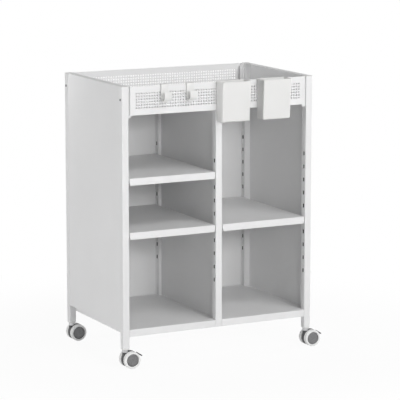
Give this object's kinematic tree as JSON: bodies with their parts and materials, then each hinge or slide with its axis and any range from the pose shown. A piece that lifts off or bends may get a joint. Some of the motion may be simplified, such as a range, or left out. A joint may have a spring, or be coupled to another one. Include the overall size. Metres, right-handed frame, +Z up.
{
  "type": "mobile bookcase",
  "caption": "White steel bookcase on swivel casters, with slotted posts, hung shelves either side of a centre wall, a perforated tray rail on top, and clip-on cups and hooks.",
  "frame": {"origin": "on the floor, under the middle of the case between its four corner posts", "axes": "+Z up, +X to the right seen from the open front, +Y from the front to the back"},
  "size_m": [0.6424, 0.4493, 0.7933],
  "materials": {
    "case_paint": "satin white powder coat with a fine grain",
    "white_plastic": "fine satin moulded plastic",
    "grey_plastic": "satin moulded plastic",
    "dark_plastic": "satin moulded plastic",
    "white_tyre": "matt pale rubber",
    "zinc_steel": "bright zinc plate"
  },
  "bodies": {
    "case": {"left_front_post": "case_paint", "right_front_post": "case_paint", "left_rear_post": "case_paint", "right_rear_post": "case_paint", "centre_front_post": "case_paint", "centre_rear_post": "case_paint", "post_caps": "white_plastic", "left_side_panel": "case_paint", "right_side_panel": "case_paint", "left_back_panel": "case_paint", "right_back_panel": "case_paint", "centre_divider": "case_paint", "centre_top_beam": "case_paint", "left_bottom_shelf": "case_paint", "right_bottom_shelf": "case_paint", "shelf_clips": "zinc_steel", "top_deck": "case_paint", "front_rail": "case_paint", "rear_rail": "case_paint", "rail_brackets": "case_paint", "rail_screws": "zinc_steel", "caster_sockets": "white_plastic", "caster_stems": "zinc_steel", "caster_necks": "zinc_steel"},
    "left_upper_shelf": {"left_upper_shelf": "case_paint"},
    "left_lower_shelf": {"left_lower_shelf": "case_paint"},
    "right_shelf": {"right_shelf": "case_paint"},
    "front_left_caster": {"front_left_caster_hood": "dark_plastic", "front_left_axle": "zinc_steel"},
    "front_left_front_wheel": {"front_left_front_wheel_tyre": "white_tyre", "front_left_front_wheel_hub": "grey_plastic"},
    "front_left_rear_wheel": {"front_left_rear_wheel_tyre": "white_tyre", "front_left_rear_wheel_hub": "grey_plastic"},
    "front_left_brake_lever": {"front_left_brake_lever": "dark_plastic"},
    "front_right_caster": {"front_right_caster_hood": "dark_plastic", "front_right_axle": "zinc_steel"},
    "front_right_front_wheel": {"front_right_front_wheel_tyre": "white_tyre", "front_right_front_wheel_hub": "grey_plastic"},
    "front_right_rear_wheel": {"front_right_rear_wheel_tyre": "white_tyre", "front_right_rear_wheel_hub": "grey_plastic"},
    "front_right_brake_lever": {"front_right_brake_lever": "dark_plastic"},
    "rear_left_caster": {"rear_left_caster_hood": "dark_plastic", "rear_left_axle": "zinc_steel"},
    "rear_left_front_wheel": {"rear_left_front_wheel_tyre": "white_tyre", "rear_left_front_wheel_hub": "grey_plastic"},
    "rear_left_rear_wheel": {"rear_left_rear_wheel_tyre": "white_tyre", "rear_left_rear_wheel_hub": "grey_plastic"},
    "rear_right_caster": {"rear_right_caster_hood": "dark_plastic", "rear_right_axle": "zinc_steel"},
    "rear_right_front_wheel": {"rear_right_front_wheel_tyre": "white_tyre", "rear_right_front_wheel_hub": "grey_plastic"},
    "rear_right_rear_wheel": {"rear_right_rear_wheel_tyre": "white_tyre", "rear_right_rear_wheel_hub": "grey_plastic"},
    "left_cup": {"left_cup": "white_plastic"},
    "right_cup": {"right_cup": "white_plastic"},
    "left_hook": {"left_hook": "white_plastic"},
    "right_hook": {"right_hook": "white_plastic"}
  },
  "joints": [
    {"name": "left_upper_shelf_lift", "type": "slide", "parent": "case", "child": "left_upper_shelf", "axis": [0, 0, 1], "range_m": [0, 0.038]},
    {"name": "left_lower_shelf_lift", "type": "slide", "parent": "case", "child": "left_lower_shelf", "axis": [0, 0, 1], "range_m": [0, 0.038]},
    {"name": "right_shelf_lift", "type": "slide", "parent": "case", "child": "right_shelf", "axis": [0, 0, 1], "range_m": [0, 0.038]},
    {"name": "front_left_swivel", "type": "hinge", "parent": "case", "child": "front_left_caster", "pos_m": [-0.29, -0.185, 0.0455], "axis": [0, 0, 1], "continuous": true},
    {"name": "front_left_front_wheel_spin", "type": "hinge", "parent": "front_left_caster", "child": "front_left_front_wheel", "pos_m": [-0.276, -0.185, 0.024], "axis": [0, 1, 0], "continuous": true},
    {"name": "front_left_rear_wheel_spin", "type": "hinge", "parent": "front_left_caster", "child": "front_left_rear_wheel", "pos_m": [-0.276, -0.185, 0.024], "axis": [0, 1, 0], "continuous": true},
    {"name": "front_left_brake_press", "type": "hinge", "parent": "front_left_caster", "child": "front_left_brake_lever", "pos_m": [-0.26, -0.185, 0.0347], "axis": [0, 1, 0], "range_deg": [0, 20]},
    {"name": "front_right_swivel", "type": "hinge", "parent": "case", "child": "front_right_caster", "pos_m": [0.29, -0.185, 0.0455], "axis": [0, 0, 1], "continuous": true},
    {"name": "front_right_front_wheel_spin", "type": "hinge", "parent": "front_right_caster", "child": "front_right_front_wheel", "pos_m": [0.304, -0.185, 0.024], "axis": [0, 1, 0], "continuous": true},
    {"name": "front_right_rear_wheel_spin", "type": "hinge", "parent": "front_right_caster", "child": "front_right_rear_wheel", "pos_m": [0.304, -0.185, 0.024], "axis": [0, 1, 0], "continuous": true},
    {"name": "front_right_brake_press", "type": "hinge", "parent": "front_right_caster", "child": "front_right_brake_lever", "pos_m": [0.32, -0.185, 0.0347], "axis": [0, 1, 0], "range_deg": [0, 20]},
    {"name": "rear_left_swivel", "type": "hinge", "parent": "case", "child": "rear_left_caster", "pos_m": [-0.29, 0.185, 0.0455], "axis": [0, 0, 1], "continuous": true},
    {"name": "rear_left_front_wheel_spin", "type": "hinge", "parent": "rear_left_caster", "child": "rear_left_front_wheel", "pos_m": [-0.276, 0.185, 0.024], "axis": [0, 1, 0], "continuous": true},
    {"name": "rear_left_rear_wheel_spin", "type": "hinge", "parent": "rear_left_caster", "child": "rear_left_rear_wheel", "pos_m": [-0.276, 0.185, 0.024], "axis": [0, 1, 0], "continuous": true},
    {"name": "rear_right_swivel", "type": "hinge", "parent": "case", "child": "rear_right_caster", "pos_m": [0.29, 0.185, 0.0455], "axis": [0, 0, 1], "continuous": true},
    {"name": "rear_right_front_wheel_spin", "type": "hinge", "parent": "rear_right_caster", "child": "rear_right_front_wheel", "pos_m": [0.304, 0.185, 0.024], "axis": [0, 1, 0], "continuous": true},
    {"name": "rear_right_rear_wheel_spin", "type": "hinge", "parent": "rear_right_caster", "child": "rear_right_rear_wheel", "pos_m": [0.304, 0.185, 0.024], "axis": [0, 1, 0], "continuous": true},
    {"name": "left_cup_lift", "type": "slide", "parent": "case", "child": "left_cup", "axis": [0, 0, 1], "range_m": [0, 0.03]},
    {"name": "right_cup_lift", "type": "slide", "parent": "case", "child": "right_cup", "axis": [0, 0, 1], "range_m": [0, 0.03]},
    {"name": "left_hook_lift", "type": "slide", "parent": "case", "child": "left_hook", "axis": [0, 0, 1], "range_m": [0, 0.03]},
    {"name": "right_hook_lift", "type": "slide", "parent": "case", "child": "right_hook", "axis": [0, 0, 1], "range_m": [0, 0.03]}
  ]
}
